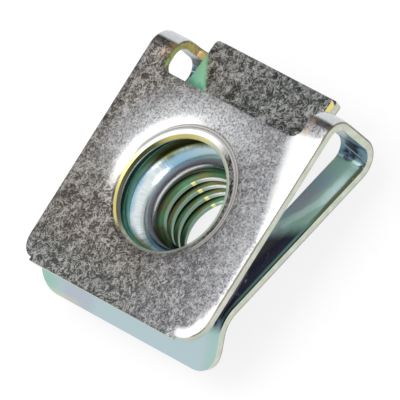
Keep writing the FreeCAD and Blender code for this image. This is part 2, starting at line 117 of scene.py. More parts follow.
def tint(name, red, green, blue, note):
    """A colour that a user may change."""
    return bpy.props.FloatVectorProperty(name=name, description=note, subtype="COLOR", size=3,
                                         min=0.0, max=1.0, default=shade(red, green, blue))


def count(name, number, note):
    """A number of faces that a user may change."""
    return bpy.props.IntProperty(name=name, description=note, default=number, min=3)


class ClipSizes(bpy.types.PropertyGroup):
    """Sizes of the folded sheet. The leaf's middle is where its outer face stands over the barrel."""

    sheet: length("Sheet", 0.8, "thickness of the sheet")
    tilt: turn("Leaf tilt", 5.8, "angle of the front leaf to the plate")
    leaf_gap: length("Leaf gap", 0.77, "gap between leaf and plate at the leaf's middle")
    leaf_reach: length("Leaf reach", 10.74, "leaf's middle to its lower edge")
    spine_reach: length("Spine reach", 11.2, "leaf's middle to the spine's outer face")
    hole_side: length("Hole side", 0.1, "how far the hole lies right of the leaf's middle")
    hole_up: length("Hole up", -0.4, "how far the hole lies above the leaf's middle")
    slip_side: length("Slip side", 0.42, "how far the hole's lip lies left of its rings")
    slip_up: length("Slip up", 0.18, "how far the hole's lip lies below its rings")
    dish: length("Dish", 7.0, "radius where the leaf starts to dip to its hole")
    ring: length("Ring", 5.8, "radius where the dip turns steep")
    leaf_hole: length("Leaf hole", 4.86, "radius of the hole at its lip")
    front_bend: length("Front bend", 1.9, "outer radius of the bend beside the leaf")
    rear_bend: length("Rear bend", 2.1, "outer radius of the bend beside the strips")
    throat_bend: length("Throat bend", 2.2, "radius of the throat on the rear face")
    strip_angle: turn("Strip angle", 17.4, "angle of the strips to the leaf")
    flare_angle: turn("Flare angle", 34.2, "angle of the lip to the leaf")
    flare_length: length("Lip length", 3.66, "straight stretch of the lip")
    left_corner: length("Left corner", 1.6, "radius of the leaf's lower left corner")
    right_corner: length("Right corner", 2.2, "radius of the leaf's lower right corner")
    lip_corner: length("Lip corners", 2.2, "radius of the lip's corners")
    step: length("Shear step", 0.3, "step where the blank was cut off")
    left_margin: length("Left step margin", 1.3, "leaf's left side to the step")
    right_margin: length("Right step margin", 2.5, "leaf's right side to the step")
    leg_drop: length("Leg drop", 1.3, "end of the front bend to where the legs widen")
    leg: length("Leg", 2.3, "width of each leg round the bend")
    strip: length("Strip", 3.06, "width of each rear strip")
    window_edge: length("Window edge", 7.84, "leaf's middle to the window")
    window_corner: length("Window corner", 0.9, "radius of the window's corners")
    rear_edge: length("Rear window edge", 6.2, "barrel axis to the rear window's lower edge")
    root: length("Tongue root", 0.7, "bend line of the tongue to the lower end of its window")
    jog: length("Tongue jog", 0.2, "length of the sheared jog at the tongue's root")
    tongue_corner: length("Tongue corner", 0.3, "radius of the tongue's free corners")
    left_roll: length("Left roll", 0.5, "width of the rolled edge along the left side")
    right_roll: length("Right roll", 0.8, "width of the rolled edge along the right side")
    fine_roll: length("Fine roll", 0.1, "width of the rolled edge in the window")
    burr: length("Burr edge", 0.05, "rounding of every other edge")
    bend_rows: count("Bend rows", 14, "rows of faces round each bend")


class ClipColours(bpy.types.PropertyGroup):
    """Colours of the plating, worn, burnished, where its clear film tints it, and the painted highlights,
    glints, reflections and shade laid on it.
    """

    worn: tint("Worn", 92, 84, 76, "dull brown plating of the outer faces")
    slate: tint("Slate", 84, 92, 92, "cooler plating by the lower edge")
    steel: tint("Steel", 116, 116, 122, "greyer plating of the outer faces")
    # Dark also paints a dark reflection across the bend of each leg.
    dark: tint("Dark", 40, 37, 35, "dark flecks and bands")
    scratch: tint("Scratch", 200, 199, 196, "fine scratches")
    # Pale is also the painted sheen above the hole and the painted highlight along the bend's crest.
    pale: tint("Pale", 222, 226, 230, "plating rubbed pale")
    # This white is mostly painted highlight: the hole's crescent and lit rim, the band and bow on the
    # right, the glare in the mouth, the thread's crests. It is also pale mottling on the cut edges and a
    # white ring in the mouth.
    burnish_and_highlight: tint("Burnish", 250, 250, 250, "edges rubbed bright")
    edge: tint("Cut edge", 196, 202, 184, "sheared edges")
    rust: tint("Brown line", 100, 86, 68, "thin line along a sheared edge")
    # Yellow also paints glints on the thread's crests.
    yellow: tint("Yellow", 236, 222, 140, "yellow film")
    # Orange also paints a glint on the bend of each leg.
    orange: tint("Orange", 214, 168, 112, "orange film")
    olive: tint("Olive", 92, 94, 58, "olive film")
    # Green and teal also paint the leg's reflection on the loose plate.
    green: tint("Green", 48, 128, 100, "green film")
    teal: tint("Teal", 138, 194, 168, "pale green film")
    sky: tint("Sky", 180, 200, 206, "pale blue film")
    blue: tint("Blue", 146, 184, 206, "blue film")
    # Violet also paints a glint line on the strips.
    violet: tint("Violet", 178, 160, 184, "violet film")
    # Navy also paints shade: over the strips' lower half, on the barrel's flat top and round the loose
    # plate's hole.
    navy: tint("Navy", 52, 54, 78, "dark blue film")
    # Black also paints shade in the thread's grooves.
    black: tint("Black", 26, 30, 32, "darkest film")
    # Cyan also paints the highlight streak on the strips.
    cyan: tint("Cyan", 214, 246, 246, "bright cyan film")


class BarrelSizes(bpy.types.PropertyGroup):
    """Sizes of the drawn and tapped barrel."""

    outside: length("Outside", 4.6, "outer radius of the barrel")
    root_fillet: length("Root fillet", 1.1, "outer radius where the barrel leaves the tongue")
    mouth: length("Mouth", 1.9, "drawn radius at the barrel's mouth")
    crest: length("Crest", 3.35, "radius over the thread's crests")
    groove: length("Groove", 4.0, "radius at the thread's roots")
    lead: length("Lead in", 3.95, "radius where the mouth ends")
    pitch: length("Pitch", 1.25, "rise of the thread in one turn")
    rim_edge: length("Rim edge", 0.25, "rounding of the end rim")
    flange: length("Flange", 5.95, "radius where barrel and tongue join")
    around: count("Faces round", 96, "faces round the barrel")
    winding: count("Faces a turn", 72, "faces in one turn of the thread")


class PlateSizes(bpy.types.PropertyGroup):
    """Sizes of the loose plate."""

    hole: length("Hole", 5.26, "radius of the plate's hole")
    corner: length("Corners", 0.3, "radius of the plate's free corners")
    roll: length("Roll", 0.1167, "width of the rolled edge")


def deselect():
    """Leave nothing selected."""
    if bpy.context.object and bpy.context.object.mode != "OBJECT":
        bpy.ops.object.mode_set(mode="OBJECT")
    bpy.ops.object.select_all(action="DESELECT")


def hold(piece):
    """Make one piece the active and only selected one."""
    deselect()
    bpy.context.view_layer.objects.active = piece
    piece.select_set(True)


def edit(piece):
    """Open a piece in edit mode."""
    hold(piece)
    bpy.ops.object.mode_set(mode="EDIT")


def done():
    """Close edit mode."""
    bpy.ops.object.mode_set(mode="OBJECT")


def pick(piece, kind, test):
    """Select what passes a test, in edit mode: verts, edges or faces."""
    words = {"verts": "VERT", "edges": "EDGE", "faces": "FACE"}
    bpy.ops.mesh.select_mode(type=words[kind])
    bpy.ops.mesh.select_all(action="DESELECT")
    mesh = bmesh.from_edit_mesh(piece.data)
    chosen = [item for item in getattr(mesh, kind) if test(item)]
    for item in chosen:
        item.select_set(True)
    bmesh.update_edit_mesh(piece.data)
    return len(chosen)


def middle(edge):
    """The middle of an edge."""
    return (edge.verts[0].co + edge.verts[1].co) / 2.0


def is_rim(edge, level):
    """Whether an edge of a face at a level turns down into a wall."""
    if len(edge.link_faces) != 2 or any(abs(vert.co.z - level) > SAME for vert in edge.verts):
        return False
    return edge.calc_face_angle() > RIM_ANGLE


def is_sharp(edge):
    """Whether an edge is still sharp."""
    return len(edge.link_faces) == 2 and edge.calc_face_angle() > SHARP_ANGLE


def is_upright(edge):
    """Whether an edge stands upright."""
    run = edge.verts[1].co - edge.verts[0].co
    return math.hypot(run.x, run.y) < SAME


def settle(name, scale=(1.0, 1.0, 1.0)):
    """Name and scale the new primitive, and move its place into its mesh."""
    piece = bpy.context.object
    piece.name = name
    piece.scale = scale
    bpy.ops.object.transform_apply(location=True, rotation=True, scale=True)
    return piece


def box_between(name, low, high):
    """A box between two corners."""
    low, high = Vector(low), Vector(high)
    deselect()
    bpy.ops.mesh.primitive_cube_add(size=1.0, location=(low + high) / 2.0)
    return settle(name, high - low)


def disc(name, radius, at, depth, faces):
    """An upright cylinder round a place."""
    deselect()
    bpy.ops.mesh.primitive_cylinder_add(vertices=faces, radius=radius, depth=depth, location=at)
    return settle(name)


def carve(piece, cutter):
    """Cut one piece with another, which is used up."""
    hold(piece)
    cut = piece.modifiers.new("cut", "BOOLEAN")
    cut.operation = "DIFFERENCE"
    cut.solver = "EXACT"
    cut.object = cutter
    bpy.ops.object.modifier_apply(modifier=cut.name)
    bpy.data.objects.remove(cutter)


def roll(piece, test, width, steps=6):
    """Round the edges that pass a test."""
    if pick(piece, "edges", test) == 0:
        raise RuntimeError(f"{piece.name}: no edge to round")
    bpy.ops.mesh.bevel(offset=width, offset_type="OFFSET", segments=steps, profile=0.5,
                       affect="EDGES", clamp_overlap=False)


def thin():
    """Bring the piece in edit mode, which was shaped too thick, back to its thickness."""
    bpy.ops.mesh.select_all(action="SELECT")
    bpy.ops.transform.resize(value=(1.0, 1.0, 1.0 / DEEP), center_override=(0.0, 0.0, 0.0))


class Fold:
    """Where the bends lie along the flat blank, from the leaf's middle."""

    def __init__(self, sizes):
        lift = sizes.leaf_gap + sizes.sheet
        self.origin = Vector((0.0, -lift * math.sin(sizes.tilt),
                              PLATE_HIGH.z + lift * math.cos(sizes.tilt)))
        self.tongue_back = PLATE_LOW.z - sizes.sheet
        # The strips' line meets the tongue's back a root's length below the tongue's bend
        slope = sizes.strip_angle - sizes.tilt
        end = Vector((0.0, -sizes.rear_edge, self.tongue_back - sizes.root * math.tan(slope)))
        self.strip_end = end
        # Seen square to the leaf, the rear bend touches that line and the spine
        flat_end = Matrix.Rotation(-sizes.tilt, 3, "X") @ (end - self.origin)
        facing = -math.pi / 2.0 - sizes.strip_angle
        out = Vector((0.0, math.cos(facing), math.sin(facing)))
        rear_y = sizes.spine_reach - sizes.rear_bend
        rear_z = flat_end.z - (sizes.rear_bend + (rear_y - flat_end.y) * out.y) / out.z
        rear_foot = Vector((0.0, rear_y, rear_z)) + out * sizes.rear_bend
        self.front_start = sizes.spine_reach - sizes.front_bend
        self.front_turn = math.pi / 2.0
        self.front_end = self.front_start + sizes.front_bend * self.front_turn
        self.rear_start = self.front_end - sizes.front_bend - rear_z
        self.rear_turn = math.pi / 2.0 + sizes.strip_angle
        self.rear_end = self.rear_start + sizes.rear_bend * self.rear_turn
        self.throat_start = self.rear_end + (flat_end - rear_foot).length
        self.throat_turn = sizes.strip_angle + sizes.flare_angle
        self.throat_end = self.throat_start + sizes.throat_bend * self.throat_turn
        self.end = self.throat_end + sizes.flare_length
        self.lean = slope


def flat_blank(sizes, barrel, fold):
    """The flat blank: outline, hole, window with the tongue in it, and rolled edges."""
    half = HALF_SHEET
    deep = sizes.sheet * DEEP
    over = sizes.sheet
    blank = box_between("folded_clip", (-half, -sizes.leaf_reach, -deep), (half, fold.end, 0.0))
    for side, margin in ((-1.0, sizes.left_margin), (1.0, sizes.right_margin)):
        near, far = sorted((side * (half - margin), side * (half + over)))
        carve(blank, box_between("step", (near, -sizes.leaf_reach - over, -deep - over),
                                 (far, -sizes.leaf_reach + sizes.step, over)))
    edit(blank)
    for side, low, radius in ((-1.0, True, sizes.left_corner), (1.0, True, sizes.right_corner),
                              (-1.0, False, sizes.lip_corner), (1.0, False, sizes.lip_corner)):
        roll(blank, lambda edge: is_upright(edge) and (middle(edge).y < 0.0) == low
             and abs(middle(edge).x - side * half) < SAME, radius, steps=8)
    done()
    carve(blank, window_cutter(sizes, fold, deep))
    hole = (sizes.hole_side, sizes.hole_up, -deep / 2.0)
    carve(blank, disc("hole", sizes.dish, hole, deep + over, barrel.around))
    at = (0.0, fold.throat_start - sizes.rear_edge, -deep / 2.0)
    carve(blank, disc("barrel_hole", barrel.flange, at, deep + over, barrel.around))
    edit(blank)
    roll(blank, lambda edge: is_rim(edge, 0.0) and (
        all(vert.co.x < sizes.left_margin - half + SAME for vert in edge.verts)), sizes.left_roll)
    roll(blank, lambda edge: is_rim(edge, 0.0) and (
        all(vert.co.x > half - sizes.right_margin - SAME for vert in edge.verts)
        or middle(edge).y > fold.end - SAME), sizes.right_roll)
    thin()
    window_x = half - sizes.leg
    roll(blank, lambda edge: is_rim(edge, 0.0) and abs(middle(edge).x) < window_x + SAME
         and middle(edge).y > sizes.window_edge - SAME
         and off_rings(edge, barrel, fold, sizes), sizes.fine_roll, steps=3)
    roll(blank, lambda edge: is_sharp(edge) and off_rings(edge, barrel, fold, sizes),
         sizes.burr, steps=2)
    done()
    weld(blank, dished_rim(sizes, barrel), hole, sizes.dish, 0.0, sizes.sheet)
    return blank


def off_rings(edge, barrel, fold, sizes):
    """Whether an edge is away from the rings where the barrel and the dished rim join the sheet."""
    at = middle(edge)
    clear = sizes.sheet / 20.0
    rings = ((0.0, fold.throat_start - sizes.rear_edge, barrel.flange),
             (sizes.hole_side, sizes.hole_up, sizes.dish))
    return all(abs(math.hypot(at.x - x, at.y - y) - radius) > clear for x, y, radius in rings)


def dished_rim(sizes, barrel):
    """The leaf's rim round its hole: a shallow dip, a ring, a steeper band and a narrow lip."""
    sheet = sizes.sheet
    wide = sizes.dish - sizes.ring
    lip = sizes.leaf_hole
    band = sizes.ring - lip
    dip = 0.2 * sheet
    shares = [step / 8.0 for step in range(9)]
    section = [(sizes.dish - wide * share, -dip * share ** 2) for share in shares]
    section += [(lip + band * share, -depth * sheet) for share, depth in RIM]
    section += [(sizes.dish, -sheet)]
    rim = lathe("dished_rim", section, barrel.around)
    edit(rim)
    for share, depth in RIM:
        # The lip slips the whole way, and the ring stays
        slip = min(1.0, max(0.0, 1.2 * (1.0 - share)))
        pick(rim, "verts", lambda vert: abs(vert.co.z + depth * sheet) < SAME
             and abs(math.hypot(vert.co.x, vert.co.y) - lip - band * share) < SAME)
        bpy.ops.transform.translate(value=(-slip * sizes.slip_side, -slip * sizes.slip_up, 0.0))
    done()
    hold(rim)
    rim.location = (sizes.hole_side, sizes.hole_up, 0.0)
    return settle("dished_rim")


def window_cutter(sizes, fold, deep):
    """What is punched out round the bend, with the tongue left standing in it."""
    over = sizes.sheet
    wide = HALF_SHEET - sizes.leg
    narrow = HALF_SHEET - sizes.strip
    turn_at = fold.front_end + sizes.leg_drop
    slant = sizes.strip - sizes.leg
    cutter = box_between("window", (-wide, sizes.window_edge, -deep - over), (wide, turn_at, over))
    edit(cutter)
    roll(cutter, lambda edge: is_upright(edge)
         and abs(middle(edge).y - sizes.window_edge) < SAME, sizes.window_corner)
    pick(cutter, "faces", lambda face: face.normal.y > 0.9)
    bpy.ops.mesh.extrude_region_move(TRANSFORM_OT_translate={"value": (0.0, slant, 0.0)})
    bpy.ops.transform.resize(value=(narrow / wide, 1.0, 1.0), center_override=(0.0, 0.0, 0.0))
    run = fold.throat_start - turn_at - slant
    bpy.ops.mesh.extrude_region_move(TRANSFORM_OT_translate={"value": (0.0, run, 0.0)})
    done()
    # The tongue stands up from the barrel's axis as far as the part does
    free = fold.throat_start - sizes.rear_edge - CLIP_HIGH.y
    tongue = box_between("tongue", (-HALF_TONGUE, free, -deep - 2.0 * over),
                         (HALF_TONGUE, fold.throat_start + over, 2.0 * over))
    edit(tongue)
    roll(tongue, lambda edge: is_upright(edge) and middle(edge).y < free + SAME,
         sizes.tongue_corner, steps=4)
    done()
    carve(cutter, tongue)
    return cutter


def bend(piece, rows, rigid, start, radius, angle):
    """Fold what lies past a line: its rows round the bend one by one, then all the rest.

    What is rigid moves with the rest. A positive angle folds away from the outer face."""
    span = radius * abs(angle)
    side = 1.0 if angle > 0.0 else -1.0
    centre = (0.0, start, -side * radius)
    values = sorted({row for row, stiff in zip(rows, rigid)
                     if not stiff and start + SAME < row < start + span - SAME})
    for value in values:
        pick(piece, "verts", lambda vert: not rigid[vert.index] and rows[vert.index] == value)
        swing(value - start, side * (value - start) / radius, centre)
    pick(piece, "verts", lambda vert: rigid[vert.index] or rows[vert.index] > start + span - SAME)
    swing(span, angle, centre)


def tip(angle, centre):
    """Turn the selection about a line across the sheet."""
    bpy.ops.transform.rotate(value=angle, orient_axis="X", orient_type="GLOBAL",
                             center_override=centre)


def swing(back, angle, centre):
    """Move the selection back to a line and turn it about a bend's centre."""
    bpy.ops.transform.translate(value=(0.0, -back, 0.0))
    tip(angle, centre)


def fold_blank(piece, sizes, fold):
    """Score the bends' rows across the blank and fold it, lip first."""
    edit(piece)
    bends = [(fold.front_start, fold.front_end), (fold.rear_start, fold.rear_end),
             (fold.throat_start, fold.throat_end)]
    lines = [fold.throat_start - sizes.jog]
    for start, end in bends:
        lines += [start + (end - start) * step / sizes.bend_rows for step in range(sizes.bend_rows + 1)]
    for line in lines:
        bpy.ops.mesh.select_all(action="SELECT")
        bpy.ops.mesh.bisect(plane_co=(0.0, line, 0.0), plane_no=(0.0, 1.0, 0.0),
                            clear_inner=False, clear_outer=False, threshold=SAME / 2.0)
    done()
    rows = [round(vert.co.y, 6) for vert in piece.data.vertices]
    in_tongue = [abs(vert.co.x) < HALF_TONGUE + SAME and vert.co.y > sizes.window_edge + sizes.sheet
                 for vert in piece.data.vertices]
    edit(piece)
    loose = [False] * len(rows)
    bend(piece, rows, loose, fold.throat_start, sizes.throat_bend, -fold.throat_turn)
    bend(piece, rows, in_tongue, fold.rear_start, sizes.rear_bend, fold.rear_turn)
    bend(piece, rows, in_tongue, fold.front_start, sizes.front_bend, fold.front_turn)
    bpy.ops.mesh.select_all(action="SELECT")
    tip(-sizes.tilt, (0.0, 0.0, 0.0))
    bpy.ops.transform.translate(value=fold.origin)
    free = fold.throat_start - sizes.jog + SAME
    pick(piece, "verts", lambda vert: in_tongue[vert.index] and rows[vert.index] < free)
    tip(-fold.lean, fold.strip_end)
    bpy.ops.transform.translate(value=(0.0, 0.0, fold.tongue_back - fold.strip_end.z))
    done()


def sort_faces(piece, outer, inner, edge):
    """Give a flat sheet's two faces and its cut edges their materials."""
    for paint in (outer, inner, edge):
        piece.data.materials.append(paint)
    up, down = 0.2, -0.7
    kinds = ((0, lambda face: face.normal.z > up), (1, lambda face: face.normal.z < down),
             (2, lambda face: down <= face.normal.z <= up))
    edit(piece)
    for slot, test in kinds:
        pick(piece, "faces", test)
        piece.active_material_index = slot
        bpy.ops.object.material_slot_assign()
    done()


def keep_flat_places(piece):
    """Remember each point's place on the flat blank, which the scratches follow."""
    places = piece.data.attributes.new("blank", "FLOAT_VECTOR", "POINT")
    places.data.foreach_set("vector", [part for vert in piece.data.vertices for part in vert.co])


def smooth(piece):
    """Shade a piece smooth, but not across its corners."""
    hold(piece)
    bpy.ops.object.shade_smooth_by_angle(angle=SMOOTH_ANGLE)


def arc(centre, radius, start, end, steps):
    """Points on an arc in a section, from one angle to another in degrees."""
    points = []
    for step in range(steps + 1):
        angle = math.radians(start + (end - start) * step / steps)
        points.append((centre[0] + radius * math.cos(angle), centre[1] + radius * math.sin(angle)))
    return points


def lathe(name, section, around):
    """Turn a closed section of (radius, height) points: one ring is drawn out after the other."""
    deselect()
    first_radius, first_height = section[0]
    bpy.ops.mesh.primitive_circle_add(vertices=around, radius=first_radius, fill_type="NOTHING",
                                      location=(0.0, 0.0, first_height))
    piece = settle(name)
    edit(piece)
    bpy.ops.mesh.select_all(action="SELECT")
    for (radius, height), (new_radius, new_height) in zip(section, section[1:] + section[:1]):
        bpy.ops.mesh.extrude_edges_move(TRANSFORM_OT_translate={"value": (0.0, 0.0, new_height - height)})
        grow = new_radius / radius
        bpy.ops.transform.resize(value=(grow, grow, 1.0), center_override=(0.0, 0.0, 0.0))
    bpy.ops.mesh.select_all(action="SELECT")
    bpy.ops.mesh.remove_doubles(threshold=SAME)
    bpy.ops.mesh.normals_make_consistent(inside=False)
    done()
    return piece


def barrel_section(barrel, front, back):
    """The drawn barrel's section: mouth, lead-in, bore, rim and outside, from the tongue's faces."""
    mouth = barrel.lead + barrel.mouth
    mouth_low = front - barrel.mouth
    cone = barrel.lead - barrel.crest
    edge = barrel.rim_edge
    chamfer = 0.8 * edge
    foot = barrel.outside + barrel.root_fillet
    section = [(barrel.flange, front)]
    section += arc((mouth, mouth_low), barrel.mouth, 90.0, 180.0, 14)
    section += [(barrel.crest, mouth_low - cone), (barrel.crest, chamfer)]
    section += [(barrel.crest + chamfer, 0.0)]
    section += arc((barrel.outside - edge, edge), edge, -90.0, 0.0, 4)
    section += arc((foot, back - barrel.root_fillet), barrel.root_fillet, 180.0, 90.0, 8)
    section += [(barrel.flange, back)]
    return section


def tap(barrel, top):
    """The tap's thread as a solid coil, wound with the pitch of a right-hand thread."""
    flat = barrel.pitch * FLAT_SHARE
    half = flat / 2.0
    inside = barrel.crest - flat
    reach = half + (barrel.groove - inside) * math.tan(FLANK)
    turns = math.ceil((top + barrel.pitch) / barrel.pitch)
    low = top - turns * barrel.pitch
    deselect()
    bpy.ops.mesh.primitive_plane_add(size=1.0, location=((inside + barrel.groove) / 2.0, 0.0, low),
                                     rotation=(math.pi / 2.0, 0.0, 0.0))
    coil = settle("tap", (barrel.groove - inside, 2.0 * reach, 1.0))
    edit(coil)
    pick(coil, "verts", lambda vert: vert.co.x > barrel.groove - SAME)
    bpy.ops.transform.resize(value=(1.0, 1.0, half / reach), center_override=(0.0, 0.0, low))
    done()
    wind = coil.modifiers.new("wind", "SCREW")
    wind.axis = "Z"
    wind.angle = math.tau
    wind.screw_offset = barrel.pitch
    wind.iterations = turns
    wind.steps = barrel.winding
    wind.render_steps = barrel.winding
    bpy.ops.object.modifier_apply(modifier=wind.name)
    edit(coil)
    bpy.ops.mesh.select_all(action="SELECT")
    bpy.ops.mesh.remove_doubles(threshold=SAME)
    pick(coil, "edges", lambda edge: len(edge.link_faces) == 1)
    bpy.ops.mesh.edge_face_add()
    bpy.ops.mesh.select_all(action="SELECT")
    bpy.ops.mesh.normals_make_consistent(inside=False)
    done()
    return coil


def drawn_barrel(sizes, barrel):
    """The barrel drawn out of the tongue, with its thread."""
    front = PLATE_LOW.z
    piece = lathe("drawn_barrel", barrel_section(barrel, front, front - sizes.sheet), barrel.around)
    carve(piece, tap(barrel, front - barrel.mouth + barrel.pitch / 4.0))
    return piece


def on_ring(vert, centre, radius, top, deep):
    """Whether a point is on the ring where a round piece joins a sheet."""
    slack = 5.0 * SAME
    off = math.hypot(vert.co.x - centre[0], vert.co.y - centre[1]) - radius
    below = top - vert.co.z
    return abs(off) < slack and -slack < below < deep + slack


def weld(sheet, piece, centre, radius, top, deep):
    """Take away the two walls that meet and join a round piece to its sheet."""
    for side in (sheet, piece):
        edit(side)
        pick(side, "faces", lambda face: all(
            on_ring(vert, centre, radius, top, deep) for vert in face.verts))
        bpy.ops.mesh.delete(type="FACE")
        done()
    hold(sheet)
    piece.select_set(True)
    bpy.ops.object.join()
    edit(sheet)
    pick(sheet, "verts", lambda vert: on_ring(vert, centre, radius, top, deep))
    bpy.ops.mesh.remove_doubles(threshold=deep / 4.0)
    done()


def reckon(operation, turned=False):
    """A method that adds one Math node to a value, with the value first, or last when turned."""
    def method(self, *others):
        values = (*others, self) if turned else (self, *others)
        return self.paint.node("ShaderNodeMath", {"operation": operation}, dict(enumerate(values)))
    return method


class Signal:
    """A socket's value, which adds Math nodes as it is reckoned with."""

    def __init__(self, paint, socket):
        self.paint = paint
        self.socket = socket

    __add__ = reckon("ADD")
    __radd__ = reckon("ADD")
    __sub__ = reckon("SUBTRACT")
    __rsub__ = reckon("SUBTRACT", turned=True)
    __mul__ = reckon("MULTIPLY")
    __rmul__ = reckon("MULTIPLY")
    __truediv__ = reckon("DIVIDE")
    __pow__ = reckon("POWER")
    __abs__ = reckon("ABSOLUTE")
    most = reckon("MAXIMUM")
    bearing = reckon("ARCTAN2")


class Paint:
    """A material or a world under way, with its nodes."""

    def __init__(self, name, colour, owner=None):
        self.owner = owner or bpy.data.materials.new(name)
        self.owner.use_nodes = True
        if colour is not None:
            self.owner.diffuse_color = (*colour, 1.0)
        self.tree = self.owner.node_tree
        self.tree.nodes.clear()

    def node(self, kind, settings=None, inputs=None, output=0):
        """A node of a type, with its settings, and the values or links of its sockets."""
        made = self.tree.nodes.new(kind)
        for key, value in (settings or {}).items():
            setattr(made, key, value)
        for key, value in (inputs or {}).items():
            socket = made.inputs[key]
            if isinstance(value, Signal):
                self.tree.links.new(value.socket, socket)
            elif socket.type == "RGBA":
                socket.default_value = (*value, 1.0)
            else:
                socket.default_value = value
        return Signal(self, made.outputs[output] if made.outputs else None)

    def place(self):
        """The place on the object, in millimetres."""
        spot = self.node("ShaderNodeTexCoord", output="Object")
        return self.node("ShaderNodeMapping", {}, {"Vector": spot, "Scale": (1.0 / MM,) * 3})

    def blank(self, slant=0.0, long=1.0, wide=1.0):
        """The place on the flat blank, in millimetres or in lengths and widths of a scratch."""
        spot = self.node("ShaderNodeAttribute", {"attribute_name": "blank"}, output="Vector")
        return self.node("ShaderNodeMapping", {"vector_type": "TEXTURE"}, {
            "Vector": spot, "Rotation": (0.0, 0.0, slant), "Scale": (long * MM, wide * MM, MM)})

    def noise(self, spot, scale, detail=3.0, rough=0.55, warp=0.0, seed=0.0):
        """Smooth random mottling between 0 and 1."""
        return self.node("ShaderNodeTexNoise", {"noise_dimensions": "4D"}, {
            "Vector": spot, "W": seed, "Scale": scale, "Detail": detail, "Roughness": rough,
            "Distortion": warp})

    def span(self, value, low, high, start=0.0, end=1.0):
        """A value brought from one range to another with a soft start and end."""
        return self.node("ShaderNodeMapRange", {"interpolation_type": "SMOOTHSTEP"}, {
            "Value": value, "From Min": low, "From Max": high, "To Min": start, "To Max": end})

    def near(self, value, middle, half, soft):
        """How far a value is inside a band: 1 in it, fading out over a soft stretch."""
        return self.span(abs(value - middle), half + soft, half)

    def blend(self, share, first, second):
        """A colour between two colours."""
        return self.node("ShaderNodeMix", {"data_type": "RGBA"}, {0: share, 6: first, 7: second}, 2)

    def layers(self, colour, *coats):
        """Coats of colour laid one over the other, each with its share."""
        for share, coat in coats:
            colour = self.blend(share, colour, coat)
        return colour

    def parts(self, vector):
        """The three parts of a vector."""
        return [self.node("ShaderNodeSeparateXYZ", {}, {0: vector}, part) for part in range(3)]

    def hairs(self, slant, long, wide, keep, seed):
        """Thin scratches that run one way, broken into short lengths."""
        wander = self.noise(self.blank(slant, long, wide), 1.0, 2.0, rough=0.5, warp=0.5, seed=seed)
        line = self.span(abs(wander - 0.5), 0.045, 0.0)
        breaks = self.noise(self.blank(), 1.6, 2.0, rough=0.6, seed=seed + 9.0)
        return line * self.span(breaks, keep, keep + 0.1)

    def felt(self):
        """Fine scratches in every direction."""
        first, ways = 0.2, 8
        total = self.hairs(first, 1.6, 0.34, keep=0.5, seed=1.0)
        for step in range(1, ways):
            slant = first + step * math.pi / ways
            long = 1.3 + 0.2 * (step % 4)
            wide = 0.26 + 0.05 * (step % 3)
            total = total.most(self.hairs(slant, long, wide, keep=0.5, seed=step + 1.0))
        return total

    def bump(self, height, depth, strength=1.0):
        """A surface direction from a height."""
        return self.node("ShaderNodeBump", {}, {
            "Height": height, "Distance": depth, "Strength": strength})

    def finish(self, **sockets):
        """Close the material with a shader, given its sockets by name."""
        inputs = {key.replace("_", " "): value for key, value in sockets.items()}
        self.close(self.node("ShaderNodeBsdfPrincipled", {}, inputs))
        return self.owner

    def close(self, shader, kind="ShaderNodeOutputMaterial"):
        """Link a shader to the output."""
        self.node(kind, {}, {0: shader})


def toward(direction, x, y, reach):
    """How nearly a place lies in a direction from a centre: 1 in it, and -1 behind."""
    right, up = direction
    return (right * x + up * y) / reach


def grain(paint, spot):
    """The wide patches and the fine flecks of dull plating."""
    patch = paint.noise(spot, 1.1, 3.0, 0.6)
    fleck = paint.span(paint.noise(spot, 5.0, 3.0, 0.75), 0.36, 0.64)
    return patch, fleck


def dulled(paint, colours, tone, dirt, fleck):
    """A tone darkened where dirt lies, and between its flecks."""
    return paint.blend(0.25 + 0.75 * fleck, colours.dark, paint.blend(dirt, tone, colours.dark))


def scratches(paint, patch, least):
    """The felt of scratches, thinner outside the patches."""
    return paint.felt() * paint.span(patch, 0.3, 0.6, least, 1.0)


